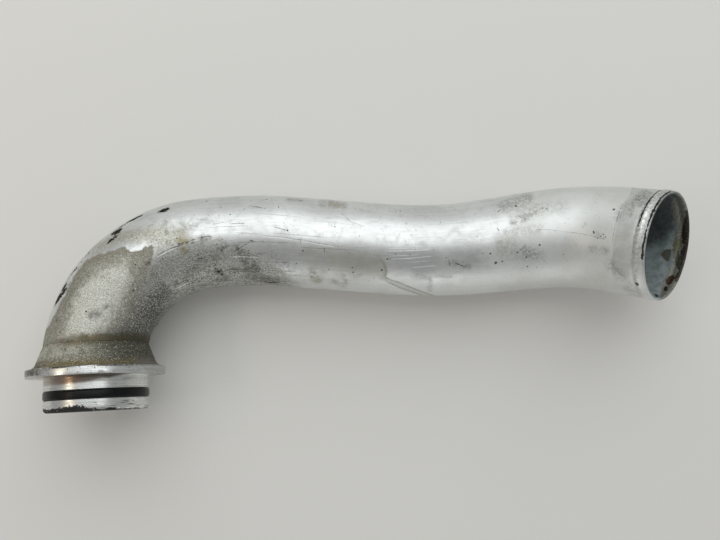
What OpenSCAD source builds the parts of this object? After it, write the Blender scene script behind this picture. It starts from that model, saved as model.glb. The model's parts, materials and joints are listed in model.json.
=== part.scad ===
// Charge-air pipe of a car's intercooler, lying on its side as it comes off the car.
// A drawn aluminium tube is bent through an elbow, a shallow double bend and a last bend that
// turns up out of the plane. One end is butted onto a turned fitting: a conical collar, a flange
// and a plug with a seal ring. The other end is opened out for a rubber hose and has a rolled bead.
// Lengths are in millimetres and angles in degrees.
// It lies on a table: +Z is up, and +X runs from the elbow towards the hose end.

/* [Tube] */
// Outer diameter of the tube between its two opened ends
tube_d = 55.2; // [50:0.1:60]
// Wall thickness of the tube
wall = 1.8; // [1.2:0.1:2.4]
// Outer diameter of the tube where it meets the fitting
neck_d = 60.8; // [58:0.1:66]
// Length over which the tube narrows from the fitting to its plain diameter
neck_taper = 121; // [60:1:150]
// Outer diameter of the land that the hose is clamped on
hose_d = 63; // [57:0.1:68]
// Length over which the tube widens to the hose land
hose_flare = 152; // [80:1:180]
// Length of the hose land, from the end of the flare to the mouth
hose_land = 10; // [8:0.5:30]

/* [Hose bead] */
// Height of the rolled bead above the hose land
bead_h = 0.6; // [0.3:0.1:2]
// Width of the rolled bead
bead_w = 5; // [3:0.1:6]
// Distance from the mouth to the crest of the bead
bead_back = 4.6; // [3.2:0.1:8]

/* [Bends] */
// Angle at which the tube leaves the fitting's collar
neck_lean = 10.2; // [0:0.1:16]
// Length over which the tube's sections turn from its square foot to square with the bend
foot_blend = 30; // [24:1:40]
// Radius of the elbow's centreline
elbow_r = 71; // [55:0.5:90]
// Angle of the elbow
elbow_turn = 76.8; // [65:0.1:95]
// Straight run after the elbow
elbow_run = 6; // [2:0.5:40]
// Radius of the shallow bend that follows the elbow's side
inward_r = 250; // [150:5:500]
// Angle of the shallow bend that follows the elbow's side
inward_turn = 10.6; // [4:0.1:16]
// Straight run in the middle of the pipe
middle_run = 62; // [30:0.5:100]
// Radius of the shallow bend back the other way
outward_r = 271; // [150:1:500]
// Angle of the shallow bend back the other way
outward_turn = 11.4; // [4:0.1:18]
// Straight run before the last bend
last_run = 37.3; // [10:0.1:60]
// Radius of the last bend, which lifts the hose end off the table
lift_r = 61.5; // [50:0.5:120]
// Angle of the last bend
lift_turn = 45.4; // [20:0.1:60]
// Angle between the plane of the last bend and the plane of the elbow
lift_roll = 61.4; // [40:0.1:90]
// Straight run from the last bend to the mouth
mouth_run = 28.9; // [15:0.1:50]

/* [Fitting] */
// Outer diameter of the flange
flange_d = 80; // [77:0.5:96]
// Thickness of the flange
flange_t = 5; // [3.5:0.1:8]
// Chamfer on both edges of the flange's rim
rim_chamfer = 0.5; // [0.2:0.1:1.2]
// Radius in the corner between the flange's seat and the plug
seat_fillet = 0.6; // [0.3:0.1:1.2]
// Diameter of the collar where it rises from the flange
collar_d = 71.6; // [67:0.1:74]
// Height of the collar above the flange
collar_h = 14; // [8:0.5:24]
// Radius of the fillet between the collar and the flange
collar_fillet = 2; // [0.5:0.1:2.2]
// Gap for the filler metal where the tube is butted onto the collar
braze_gap = 0.1; // [0.05:0.01:0.2]

/* [Plug] */
// Outer diameter of the plug
plug_d = 60; // [58:0.5:66]
// Inner diameter of the plug
plug_bore = 49; // [40:0.5:50]
// Length of the land between the flange and the seal groove
upper_land = 7.8; // [5:0.1:12]
// Length of the nose beyond the seal groove, with its rounded edge
nose_len = 7.1; // [5:0.1:12]
// Radius of the nose's rounded outer edge
nose_round = 2.3; // [0.8:0.1:3]
// Chamfer at the mouth of the plug's bore
bore_chamfer = 1; // [0.5:0.1:1.5]
// Length of the cone that opens the bore out to the tube
bore_cone = 16; // [8:0.5:17]

/* [Seal ring] */
// Width of the seal ring along the plug
seal_w = 5.2; // [4:0.1:6]
// Height that the seal ring stands above the plug
seal_proud = 0.5; // [0.3:0.1:1]
// Depth of the seal groove
groove_depth = 3.4; // [2:0.1:4]
// Clearance between the seal ring and each wall of its groove
seal_gap = 0.06; // [0.03:0.01:0.15]

/* [Hidden] */

// Fineness: sides around the tube, distance between its rings and steps over the bead
sides = 48;
ring_step = 8;
bend_step = 6;
bead_steps = 8;
arc_steps = 8;
turned_fn = 180;

// Radii and levels; levels are measured along the plug's axis from the flange's seat
tube_r = tube_d / 2;
neck_r = neck_d / 2;
hose_r = hose_d / 2;
flange_r = flange_d / 2;
collar_r = collar_d / 2;
plug_r = plug_d / 2;
bore_r = plug_bore / 2;
groove_r = plug_r - groove_depth;
groove_w = seal_w + 2 * seal_gap;
plug_len = upper_land + groove_w + nose_len;
collar_top = flange_t + collar_h;
tube_foot = collar_top + braze_gap;
neck_bore_r = neck_r - wall;

// Small vector functions
function unit(v) = v / norm(v);
function turned(v, axis, angle) =
    v * cos(angle) + cross(axis, v) * sin(angle) + axis * (axis * v) * (1 - cos(angle));
function smooth(t) =
    let (u = min(1, max(0, t)))
    u * u * (3 - 2 * u);
function sum_first(list, i = 0) = i == len(list) ? 0 : list[i][0] + sum_first(list, i + 1);

// The centreline as the bender sees it: length, angle turned, direction of the turn, steps
function arc_length(radius, angle) = radius * angle * PI / 180;
function steps_for(length, angle) = max(1, ceil(length / ring_step), ceil(angle / bend_step));
function bend(radius, angle, sense, roll) =
    [arc_length(radius, angle), sense * angle, roll, steps_for(arc_length(radius, angle), angle)];
function straight(length) = [length, 0, 0, steps_for(length, 0)];
bead_zone = bead_back + bead_w / 2;
legs = [
    bend(elbow_r, elbow_turn, 1, 0),
    straight(elbow_run),
    bend(inward_r, inward_turn, 1, 0),
    straight(middle_run),
    bend(outward_r, outward_turn, -1, 0),
    straight(last_run),
    bend(lift_r, lift_turn, 1, -lift_roll),
    straight(mouth_run - bead_zone),
    [bead_w, 0, 0, bead_steps],
    straight(bead_zone - bead_w),
];
tube_len = sum_first(legs);

// A station is a point, the direction of the tube, a side direction that never twists,
// and the distance travelled along the centreline
function station(start, leg, x) =
    let (
        side = turned(start[2], start[1], leg[2]),
        hinge = cross(start[1], side),
        angle = leg[1] * x / leg[0],
        radius = leg[1] == 0 ? 0 : leg[0] / (leg[1] * PI / 180)
    )
    [
        leg[1] == 0 ? start[0] + x * start[1] : start[0] + radius * (side - turned(side, hinge, angle)),
        turned(start[1], hinge, angle),
        turned(start[2], hinge, angle),
        start[3] + x,
    ];
function trace(start, i) =
    i == len(legs) ? [] : concat(
        [for (k = [1 : legs[i][3]]) station(start, legs[i], legs[i][0] * k / legs[i][3])],
        trace(station(start, legs[i], legs[i][0]), i + 1)
    );

// The plug points along -Y and the tube leaves along +Y, then bends towards +X
axis = [0, 1, 0];
leaning = [[0, tube_foot, 0], turned(axis, [0, 0, 1], -neck_lean), turned([1, 0, 0], [0, 0, 1], -neck_lean), 0];
path = concat([leaning], trace(leaning, 0));

// The tube's foot is cut square to the fitting, so the first sections turn back towards it
function foot_angle(s) = (neck_lean + s / elbow_r * 180 / PI) * max(0, 1 - s / foot_blend);
stations = [
    for (st = path)
        [
            st[0],
            turned(st[1], [0, 0, 1], foot_angle(st[3])),
            turned(st[2], [0, 0, 1], foot_angle(st[3])),
            st[3],
        ],
];

// Outer radius along the tube: neck, plain tube, flare, hose land and rolled bead
function bead_rise(s) =
    let (u = (tube_len - s - bead_back) / (bead_w / 2))
    abs(u) < 1 ? bead_h * (1 + cos(180 * u)) / 2 : 0;
function radius_at(s) =
    tube_r
    + (neck_r - tube_r) * (1 - smooth(s / neck_taper))
    + (hose_r - tube_r) * smooth((s - tube_len + hose_land + hose_flare) / hose_flare)
    + bead_rise(s);
function ring(st, radius) = [
    for (k = [0 : sides - 1])
        let (t = 360 * k / sides)
        st[0] + radius * (cos(t) * st[2] + sin(t) * cross(st[1], st[2])),
];

// How the pipe lies: the flange's rim, the elbow's side and the far side all touch the table
function touch(disc, up) = disc[0] - disc[2] * unit(up - disc[1] * (disc[1] * up));
function lowest(discs, up) =
    let (
        points = [for (disc = discs) touch(disc, up)],
        heights = [for (point = points) point * up]
    )
    points[search(min(heights), heights)[0]];
rim_discs = [
    [[0, rim_chamfer, 0], axis, flange_r],
    [[0, flange_t - rim_chamfer, 0], axis, flange_r],
];
near_discs = [for (st = stations) if (st[3] < tube_len / 2) [st[0], st[1], radius_at(st[3])]];
far_discs = [for (st = stations) if (st[3] >= tube_len / 2) [st[0], st[1], radius_at(st[3])]];
function settled(up, turns) =
    turns == 0 ? up : settled(
        let (
            rim = lowest(rim_discs, up),
            near = lowest(near_discs, up),
            far = lowest(far_discs, up)
        )
        unit(cross(far - rim, near - rim)),
        turns - 1
    );
up = settled([0, 0, 1], 12);

// Level axes: +X runs level from the end of the elbow to the middle of the mouth
elbow_end = stations[legs[0][3]][0];
mouth = stations[len(stations) - 1][0];
along = unit(mouth - elbow_end - up * (up * (mouth - elbow_end)));
across = cross(up, along);

// Box of the lying part, for an origin at the middle of its foot
plug_discs = [
    [[0, nose_round - plug_len, 0], axis, plug_r],
    [[0, -plug_len, 0], axis, plug_r - nose_round],
];
tube_points = [for (st = stations) for (point = ring(st, radius_at(st[3]))) point];
function reach(dir) = max(concat(
    [for (point = tube_points) point * dir],
    [for (disc = concat(rim_discs, plug_discs)) disc[0] * dir + disc[2] * norm(cross(disc[1], dir))]
));
shift = [
    (reach(-along) - reach(along)) / 2,
    (reach(-across) - reach(across)) / 2,
    reach(-up),
];

module lying() {
    multmatrix([
        [along.x, along.y, along.z, shift.x],
        [across.x, across.y, across.z, shift.y],
        [up.x, up.y, up.z, shift.z],
        [0, 0, 0, 1],
    ])
        children();
}

// Stands a profile drawn as radius and level upright on the plug's axis
module turned_part() {
    rotate([-90, 0, 0])
        rotate_extrude($fn = turned_fn)
            children();
}

// Quarter of a circle, as points from one angle to the other
function arc(centre, radius, from, to) = [
    for (k = [0 : arc_steps])
        let (t = from + (to - from) * k / arc_steps)
        centre + radius * [cos(t), sin(t)],
];

// A tube skinned over its rings, with an outer and an inner skin and a flat ring at each end
module skinned_tube() {
    rings = len(stations);
    outer = [for (st = stations) for (point = ring(st, radius_at(st[3]))) point];
    inner = [for (st = stations) for (point = ring(st, radius_at(st[3]) - wall)) point];
    shell = rings * sides;
    function next(k) = (k + 1) % sides;
    skin = [
        for (i = [0 : rings - 2])
            for (k = [0 : sides - 1])
                let (
                    a = i * sides + k,
                    b = i * sides + next(k),
                    c = (i + 1) * sides + next(k),
                    d = (i + 1) * sides + k
                )
                each [[a, c, b], [a, d, c], [shell + a, shell + b, shell + c], [shell + a, shell + c, shell + d]],
    ];
    ends = [
        for (k = [0 : sides - 1])
            let (a = k, b = next(k), c = (rings - 1) * sides + k, d = (rings - 1) * sides + next(k))
            each [
                [a, shell + b, shell + a],
                [a, b, shell + b],
                [c, shell + d, d],
                [c, shell + c, shell + d],
            ],
    ];
    polyhedron(points = concat(outer, inner), faces = concat(skin, ends), convexity = 8);
}

// Profile of the turned fitting, from the nose of the plug up to the collar's top and back down
collar_slope = atan2(collar_r - neck_r, collar_h);
module fitting_profile() {
    groove_low = groove_w + upper_land;
    outer_nose = arc([plug_r - nose_round, nose_round - plug_len], nose_round, -90, 0);
    fillet_foot = collar_fillet / tan(45 + collar_slope / 2);
    fillet_c = [collar_r + fillet_foot, flange_t + collar_fillet];
    collar_root = arc(fillet_c, collar_fillet, 270, 180 + collar_slope);
    seat_corner = arc([plug_r + seat_fillet, -seat_fillet], seat_fillet, 180, 90);
    polygon(concat(
        [[bore_r + bore_chamfer, -plug_len]],
        outer_nose,
        [
            [plug_r, -groove_low],
            [groove_r, -groove_low],
            [groove_r, -upper_land],
            [plug_r, -upper_land],
        ],
        seat_corner,
        [
            [flange_r - rim_chamfer, 0],
            [flange_r, rim_chamfer],
            [flange_r, flange_t - rim_chamfer],
            [flange_r - rim_chamfer, flange_t],
        ],
        collar_root,
        [
            [neck_r, collar_top],
            [neck_bore_r, collar_top],
            [bore_r, collar_top - bore_cone],
            [bore_r, bore_chamfer - plug_len],
        ]
    ));
}

// Profile of the seal ring: a flat ring with well rounded outer corners
module seal_profile() {
    inner_r = groove_r + seal_gap;
    outer_r = plug_r + seal_proud;
    corner = (outer_r - inner_r) / 3;
    low = -upper_land - seal_gap - seal_w;
    high = -upper_land - seal_gap;
    polygon(concat(
        arc([inner_r + corner, low + corner], corner, 180, 270),
        arc([outer_r - corner, low + corner], corner, 270, 360),
        arc([outer_r - corner, high - corner], corner, 0, 90),
        arc([inner_r + corner, high - corner], corner, 90, 180)
    ));
}

// Bent and end-formed aluminium tube
module pipe() {
    color([0.74, 0.75, 0.75])
        lying()
            skinned_tube();
}

// Turned aluminium fitting with its collar, flange and plug
module flanged_spigot() {
    color([0.66, 0.65, 0.62])
        lying()
            turned_part()
                fitting_profile();
}

// Black rubber seal ring in the plug's groove
module o_ring() {
    color([0.09, 0.09, 0.095])
        lying()
            turned_part()
                seal_profile();
}

pipe();
flanged_spigot();
o_ring();
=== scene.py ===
import functools
import json
import math

import bpy
import numpy as np
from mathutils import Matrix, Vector


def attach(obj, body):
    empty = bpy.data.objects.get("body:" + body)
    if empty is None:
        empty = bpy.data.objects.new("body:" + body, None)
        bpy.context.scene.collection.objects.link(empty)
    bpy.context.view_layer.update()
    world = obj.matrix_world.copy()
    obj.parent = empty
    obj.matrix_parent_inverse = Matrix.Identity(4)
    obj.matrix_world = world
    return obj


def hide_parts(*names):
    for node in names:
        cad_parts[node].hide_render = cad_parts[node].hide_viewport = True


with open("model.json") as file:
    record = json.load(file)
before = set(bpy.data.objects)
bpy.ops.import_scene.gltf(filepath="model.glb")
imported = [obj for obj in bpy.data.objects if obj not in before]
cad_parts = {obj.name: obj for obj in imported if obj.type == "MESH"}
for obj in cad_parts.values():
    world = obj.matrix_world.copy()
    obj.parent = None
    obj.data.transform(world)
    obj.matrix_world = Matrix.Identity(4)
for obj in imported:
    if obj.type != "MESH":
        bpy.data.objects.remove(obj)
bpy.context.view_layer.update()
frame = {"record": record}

MM = 0.001

# The pipe's own sizes in millimetres and degrees, as the part's source has them
TUBE_R = 27.6
WALL = 1.8
NECK_R = 30.4
NECK_TAPER = 121
HOSE_R = 31.5
HOSE_FLARE = 152
HOSE_LAND = 10
BEAD_H = 0.6
BEAD_W = 5
BEAD_BACK = 4.6
NECK_LEAN = 10.2
FOOT_BLEND = 30
ELBOW_R = 71
LEGS = [
    ("bend", ELBOW_R, 76.8, 0), ("run", 6), ("bend", 250, 10.6, 0), ("run", 62), ("bend", 271, -11.4, 0),
    ("run", 37.3), ("bend", 61.5, 45.4, -61.4), ("run", 28.9),
]
FLANGE_R = 40
FLANGE_T = 5
RIM_CHAMFER = 0.5
SEAT_FILLET = 0.6
COLLAR_R = 35.8
COLLAR_H = 14
BRAZE_GAP = 0.1
PLUG_R = 30
BORE_R = 24.5
UPPER_LAND = 7.8
NOSE_LEN = 7.1
NOSE_ROUND = 2.3
BORE_CHAMFER = 1
BORE_CONE = 16
SEAL_W = 5.2
SEAL_PROUD = 0.5
GROOVE_DEPTH = 3.4
SEAL_GAP = 0.06
GROOVE_W = SEAL_W + 2 * SEAL_GAP
PLUG_LEN = UPPER_LAND + GROOVE_W + NOSE_LEN
COLLAR_TOP = FLANGE_T + COLLAR_H
TUBE_FOOT = COLLAR_TOP + BRAZE_GAP

# The camera of the photograph: straight above, in millimetres and in pixels of its 720 x 540 frame
CAMERA_AT = np.array([0.74, 19.23, 519.3])
CAMERA_TURN = 0.0099
FOCAL_PX = 800.0
FRAME_W = 720
FRAME_H = 540
SENSOR_W = 36.0

# The collar runs out into the flange in a wide worn curve
ROOT_ROUND = 5.0

# A hair that the dressed skin stays inside the solids, so that it fits their box
INSIDE = 0.05

# The tube's mesh: points around, and steps along its body, its bead and its mouth, with where they begin
TUBE_AROUND = 192
BODY_STEP = 1.15
END_STEP = 0.28
END_SPAN = 14
MOUTH_STEP = 0.85
MOUTH_SPAN = 50
DEEP_STEP = 5
LIP_R = 0.75
LIP_RINGS = 9

# Its foot's broken edge, the dips on both sides of its bead, its unevenness and its knocks
FOOT_RINGS = [0, 0.25, 0.55, 0.95]
FOOT_BREAK = [0.1, 0.04, 0.01, 0]
VALLEY = 0.192
UNEVEN = 0.28
DENTS = 26

# The fitting's and the seal's skins: points around, broken edges (out and up from the collar's), roughness
FITTING_AROUND = 288
SEAL_AROUND = 224
PROFILE_STEP = 0.7
EDGE = 0.25
COLLAR_EDGE = [(0.2, -0.6), (0.02, -0.2), (-0.12, 0), (-0.16, 0.14)]
COLLAR_ROUGH = 0.16
NICKS = 46
SEAL_WAVE = 0.09

# Farther than any pixel, and how many square pixels a square millimetre shows at least where marks are fitted
FAR_OFF = 1e6
FLAT_ENOUGH = 0.15


# What the photograph shows on the tube. A stroke is two ends in its pixels and a half width in millimetres
CHIPS = [
    (112, 234, 119, 230, 1.8), (116, 233.5, 119, 230, 2), (107, 243.5, 117, 235.5, 1.1),
    (126, 223.4, 142, 215.4, 1.6), (119, 228, 126, 223.8, 0.9), (160, 211.8, 168, 208.8, 1.9),
    (56.4, 301.5, 59.4, 297, 2.2), (59.5, 297.5, 66.5, 288.5, 1.5), (62.5, 289.5, 65.5, 285.5, 1.6),
    (69, 277.5, 78, 266.5, 0.8), (84.5, 258, 90.5, 251.5, 0.5), (81.2, 262.2, 81.8, 261.6, 0.45),
    (56.4, 321, 57, 319.5, 0.4), (593.2, 229.8, 594.4, 233.2, 0.75), (269, 282.8, 276, 282.2, 0.8),
]
DOTS = [
    (135.5, 264.8, 0.5), (139.4, 268.3, 0.4), (133.3, 290.6, 0.6), (86, 311.5, 0.5), (163, 258.8, 0.45),
    (176.7, 238.5, 0.35), (178.9, 244, 0.5), (192.6, 259.2, 0.45), (199, 258.5, 0.45), (201.5, 258.4, 0.5),
    (221.3, 250.4, 0.6), (206.6, 201.2, 0.5), (266.4, 199.4, 0.45), (278.5, 207.1, 0.45), (230.2, 214.4, 0.4),
    (287.6, 230.3, 0.45), (334.9, 226.7, 0.4), (302.8, 250.8, 0.5), (353.2, 272.3, 0.4), (352.4, 267.5, 0.45),
    (329, 269.8, 0.4), (296.6, 263.4, 0.35), (381.8, 270, 0.6), (387.3, 259, 0.55), (400.4, 211, 0.4),
    (395.5, 212.3, 0.3), (443.7, 205.4, 0.3), (482.8, 253.6, 0.35), (490.4, 253.5, 0.5), (495.8, 262.8, 0.75),
    (502.3, 261.4, 0.4), (515.9, 206, 0.7), (542.7, 208.2, 0.4), (546.8, 208.4, 0.45), (539.7, 245, 0.55),
    (527.3, 266.5, 0.4), (536.5, 267.6, 0.3), (517.6, 252.4, 0.4), (526.4, 257.2, 0.5), (563.4, 254.6, 0.4),
    (613.8, 209.4, 0.65), (636.8, 284.2, 1.1), (600.5, 236.5, 0.3), (603.5, 234.5, 0.3), (597.5, 238.5, 0.3),
    (605.5, 237, 0.25), (215.6, 268.6, 0.55), (218.4, 271.6, 0.75), (221.4, 270, 0.5), (217.2, 274.2, 0.45),
    (222, 274.4, 0.7), (214, 276.8, 0.4),
]
SCRATCHES = [
    (157, 255.5, 170, 248.8, 0.22), (170, 249, 183, 244.5, 0.4), (178.5, 244.5, 190, 241.4, 0.45),
    (188, 241.8, 196.5, 238.8, 0.4), (190.5, 243.6, 195.5, 241.6, 0.45), (197, 238, 211, 236.4, 0.3),
    (230, 223.8, 245, 223.2, 0.3), (249, 205.8, 263, 208, 0.35), (273.5, 226.6, 288, 231, 0.25),
    (232, 252.6, 251, 241.4, 0.25), (250, 240.2, 254, 241.8, 0.5), (300.4, 238.6, 300.4, 242.8, 0.28),
    (298.6, 239.2, 302.4, 239, 0.3), (324.4, 247.6, 324.4, 252.6, 0.35), (230, 269.6, 244, 269.4, 0.3),
    (268, 282.4, 277, 281.6, 0.45), (278, 281.6, 292, 281, 0.22), (174.5, 285.8, 186.5, 280, 0.35),
    (218.5, 273, 222.5, 270.8, 0.45), (215.5, 281, 218.5, 277, 0.6), (278, 236.5, 303, 240.5, 0.12),
    (303, 240, 331, 245.6, 0.12), (331, 245.2, 343, 248.6, 0.12), (258, 234.6, 280, 237.4, 0.12),
    (236, 232.6, 258, 234, 0.11), (340.5, 212.5, 352, 223, 0.13), (343, 219, 366, 227.5, 0.11),
    (449, 260.5, 450, 265.6, 0.4), (454.5, 262.8, 463.5, 266.2, 0.38), (463, 266.3, 468, 266.4, 0.35),
    (497.2, 227.6, 499.4, 231.2, 0.4), (497.4, 212.2, 500.6, 209.8, 0.35), (371, 222, 380, 221, 0.14),
    (196, 219, 226, 222.5, 0.1), (212, 224.6, 229, 221.6, 0.14), (205, 228, 250, 226, 0.13),
    (250, 213.5, 300, 217, 0.12), (560, 231.6, 590, 235.5, 0.11), (532, 229.6, 560, 231.2, 0.1),
    (590, 235.5, 606, 239.4, 0.12), (228, 269.4, 252, 269.8, 0.26), (256, 281.4, 284, 283.4, 0.45),
    (219, 274, 221.2, 267.4, 0.22), (243, 251.6, 262, 258, 0.2), (262, 262, 287, 262.6, 0.15),
    (264, 270.4, 300, 272, 0.15), (285, 274.6, 320, 277.4, 0.15), (196, 256, 214, 250.4, 0.16),
    (232, 243, 300, 243.4, 0.13), (270, 233, 330, 237.6, 0.13), (300, 247.4, 352, 250, 0.12),
    (612.4, 243, 615.5, 225, 0.16), (615.5, 225, 623, 203.5, 0.16),
]
BRIGHT_SCRATCHES = [
    (384, 251, 432, 249.2, 0.28), (386, 248.6, 428, 247.6, 0.14), (392, 259.2, 433, 256, 0.28),
    (388, 256, 420, 254.6, 0.14), (404, 262.6, 431, 260.6, 0.14), (412, 267.6, 436, 265.4, 0.28),
    (230, 257, 262, 257.6, 0.24), (262, 236.6, 300, 240.6, 0.2), (300, 241.4, 343, 248, 0.2),
    (157, 257.5, 178, 246.8, 0.28), (176, 289, 188, 283, 0.3), (205, 234.5, 240, 233.4, 0.18),
]
SMUDGES_AND_SHADE = [
    (597, 233.5, 604, 237, 1.4, 0.3), (147, 264, 153, 259.5, 1, 0.9), (166, 231.5, 166.5, 233.5, 1, 0.6),
    (167, 240.5, 167.5, 244, 0.8, 0.6), (182, 231, 184.5, 230.5, 0.9, 0.4), (202, 238, 210.5, 238, 1.6, 0.5),
    (219.5, 250.5, 226, 246.5, 1.8, 0.6), (236, 248, 242, 255, 2.6, 0.6), (246, 260, 254, 270, 3.2, 0.75),
    (217, 271, 221, 272.5, 1.6, 0.9), (225, 277.5, 226, 278.5, 1.8, 0.6), (232, 268.5, 246, 270.5, 1.2, 0.6),
    (248, 276, 262, 278, 2, 0.7), (262, 279.5, 277, 280.5, 1.8, 0.8), (285, 262, 287, 266, 1.4, 0.35),
    (289, 199.6, 302, 200.6, 0.7, 0.45), (322, 203, 344, 205.6, 2.2, 0.3), (310, 272, 318, 280, 2.2, 0.35),
    (343, 275, 347, 284, 1.4, 0.35), (332, 281, 345, 286, 1.6, 0.3), (436, 276.5, 452, 277, 0.8, 0.2),
    (430.5, 278, 430, 290, 1.4, 0.3), (416, 273, 426, 277, 2, 0.2), (450, 262, 468, 266, 2.2, 0.4),
    (505, 206, 528, 198.5, 3.6, 0.42), (512, 223, 524, 219, 1.5, 0.5), (519, 219, 536, 211, 2.8, 0.45),
    (508, 232, 540, 228.5, 2.8, 0.22), (512, 212, 562, 206, 4.2, 0.2), (504, 252, 540, 256, 4, 0.22),
    # The stroke from (628, 287) to (639, 294) is painted shade below the bead
    (178, 229, 206, 223, 3.4, 0.24), (628, 287, 639, 294, 3, 0.26), (500, 247, 518, 250, 4.4, 0.26),
    (640, 205, 650, 194, 1.6, 0.4), (524, 250, 536, 255, 3, 0.55), (590, 249, 606, 250.5, 2.4, 0.3),
    (611, 265.5, 622, 275.5, 3.4, 0.36), (618, 216, 626, 206, 2.6, 0.3), (634, 202, 645, 193.5, 2.2, 0.6),
    (630, 214, 632, 204, 2, 0.4), (640.5, 217, 645, 205, 0.9, 0.6), (634.5, 286, 636.5, 270, 1.1, 0.3),
    (583, 226, 585, 224, 1, 0.3), (92, 315.5, 97.5, 313, 2.6, 0.55), (104.5, 308, 107.5, 306, 1.2, 0.6),
    (88, 250.5, 91.5, 247, 0.9, 0.5), (62, 341, 72, 342.5, 1.5, 0.8), (98, 232, 110, 226, 1.5, 0.3),
    (165, 224, 168, 220, 1.6, 0.3), (186, 276, 196, 268, 2.6, 0.4), (200, 262, 214, 258, 2.4, 0.4),
]
STAINS = [
    (180.5, 240, 186, 242, 2, 0.8), (182.5, 249, 184, 252, 1.7, 0.6), (176, 240, 182, 236, 2, 0.35),
    (331, 203.6, 343, 205.6, 1.6, 0.4), (312, 279, 318, 281, 1.6, 0.3), (120, 236, 160, 231, 3.4, 0.22),
    (150, 240, 178, 232, 2.6, 0.14), (96, 245, 116, 240, 2, 0.2), (336, 262, 380, 264, 6, 0.12),
    (500, 245, 512, 239, 2.6, 0.16),
]
# Outlines of the larger grounds in the photograph's pixels. Crystals are where the bright ones gather, pale is
# the heart of the soil, and dust the part of the elbow above it
GROUNDS = {
    "soil": [(14, 384), (30, 346), (49, 325), (57.5, 308), (63, 297), (69, 285.5), (73.5, 276.5), (80.5, 266),
        (86, 260), (92.5, 256.4), (105.6, 252.6), (114, 249.4), (121, 246.6), (125.5, 246), (128, 249.9),
        (131.6, 251), (140.3, 249.2), (146.8, 246), (152.4, 244.8), (154.4, 251), (152, 262), (146, 274),
        (141, 290), (138, 310), (150, 384)],
    "grit": [(110, 352), (122, 324), (131, 305), (142, 290), (153, 279), (162, 270), (177, 262), (217, 255),
        (262, 260), (274, 273), (280, 285), (274, 300), (215, 304), (160, 352)],
    "film": [(280, 310), (280, 240), (340, 240), (362, 245.4), (373, 249), (381, 256), (386, 263.4),
        (387.8, 271), (386.6, 276.6), (391, 279.6), (398, 281.4), (408, 285.6), (420, 290.4), (436, 296),
        (428, 298), (412, 292.4), (400, 288.4), (391, 284), (383, 281.6), (372, 284.6), (358, 289.6),
        (340, 297), (320, 310)],
    "worn": [(122, 356), (127, 315), (136, 285), (148, 262), (157, 255), (170, 250), (183, 245.6), (197, 241),
        (212, 239), (232, 245), (252, 250), (270, 256), (286, 264), (294, 276), (298, 292), (292, 310),
        (215, 310), (165, 356)],
    "hose": [(634, 180), (629, 196), (623, 204), (618.5, 215), (616, 226), (613.5, 243.5), (611.5, 262),
        (612, 275), (618, 290), (624, 310), (700, 310), (700, 180)],
    "wiped": [(386, 250), (408, 247.4), (434, 248), (436, 252), (434, 266), (436, 277.6), (441, 278),
        (440.6, 291.6), (432, 291.6), (432, 279), (410, 270), (388.6, 266)],
    "dull": [(300, 312), (300, 288), (340, 281), (400, 278), (466, 278), (484, 262), (494, 240), (506, 226),
        (512, 205), (516, 180), (720, 180), (720, 312)],
    "crystals": [(66, 345), (71, 315), (82, 290), (97, 270), (106, 261), (126, 261), (133, 270), (150, 272),
        (165, 279), (170, 300), (162, 322), (158, 350), (126, 350)],
    "pale": [(58, 344), (64, 326), (72, 304), (82, 287), (95, 272), (110, 264), (127, 262), (130, 274),
        (125, 291), (116, 310), (108, 328), (92, 340)],
    "dust": [(80, 264), (96, 246), (116, 235), (150, 225), (190, 222), (194, 238), (176, 250), (158, 257),
        (152, 244), (140, 246), (126, 243), (105, 250), (92, 255)],
}
# On the inner wall, where it shows in the mouth: flakes and crusts, each with its two tones
FLAKES = {
    "crust": ([(684, 190), (672, 200), (672, 214), (677, 226), (674, 240), (672, 262), (667, 276), (662, 286),
        (660, 302), (684, 302), (696, 262), (698, 225), (694, 190)], (62, 59, 51), (172, 170, 160)),
    "pitch": ([(683, 226), (686, 212), (690, 206), (696, 212), (696, 240), (690, 262), (680, 280), (676, 282),
        (676, 274), (681, 262), (680, 254), (684, 246), (682, 238)], (16, 13, 10), (66, 57, 44)),
    "ash_dark": ([(675, 252), (678, 250), (680, 256), (680, 266), (677, 268), (674.5, 262)],
        (64, 62, 52), (92, 91, 80)),
    "leaf": ([(660.4, 254.5), (663.5, 250.3), (667, 249.2), (671.6, 249.4), (671, 255), (668.7, 262.5),
        (664.8, 259.8)], (84, 82, 70), (116, 114, 100)),
    "ash": ([(667.4, 275.4), (670, 268), (673, 263.5), (675, 266), (678.8, 270), (676, 275), (672, 277)],
        (112, 112, 104), (158, 158, 148)),
    "straw": ([(674, 244), (676.5, 238), (681, 239.5), (682, 247), (678, 249), (676.4, 256), (673.4, 258)],
        (92, 88, 62), (142, 140, 110)),
    "rust": ([(665.2, 281), (668, 276.8), (673, 275), (675, 277), (672.8, 281.5), (669.5, 285.4),
        (666.6, 284.4)], (36, 20, 12), (84, 54, 36)),
    "blot": ([(663.6, 288.6), (665, 285.8), (668, 287.4), (666.6, 291), (664.4, 291.4)],
        (12, 11, 9), (30, 28, 24)),
    "spot": ([(653.6, 293.6), (657.4, 294.4), (659, 297.6), (655.4, 297)], (16, 15, 13), (34, 32, 28)),
}
# Where the inner wall is darker, at the upper left of the mouth
MOUTH_DARK = [
    (700, 180), (640, 180), (640, 246), (652, 246), (664, 241), (674, 230), (679, 214), (682, 200), (684, 190),
]
# Pixels of the photograph to a millimetre on the side that it shows
PX_PER_MM = 1.82
# How far in from the mouth the flakes reach, and the pixels where the dirty valleys beside the bead end
FLAKES_REACH = 60
VALLEY_ENDS = [(642.3, 226.5), (643.6, 260)]
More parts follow.
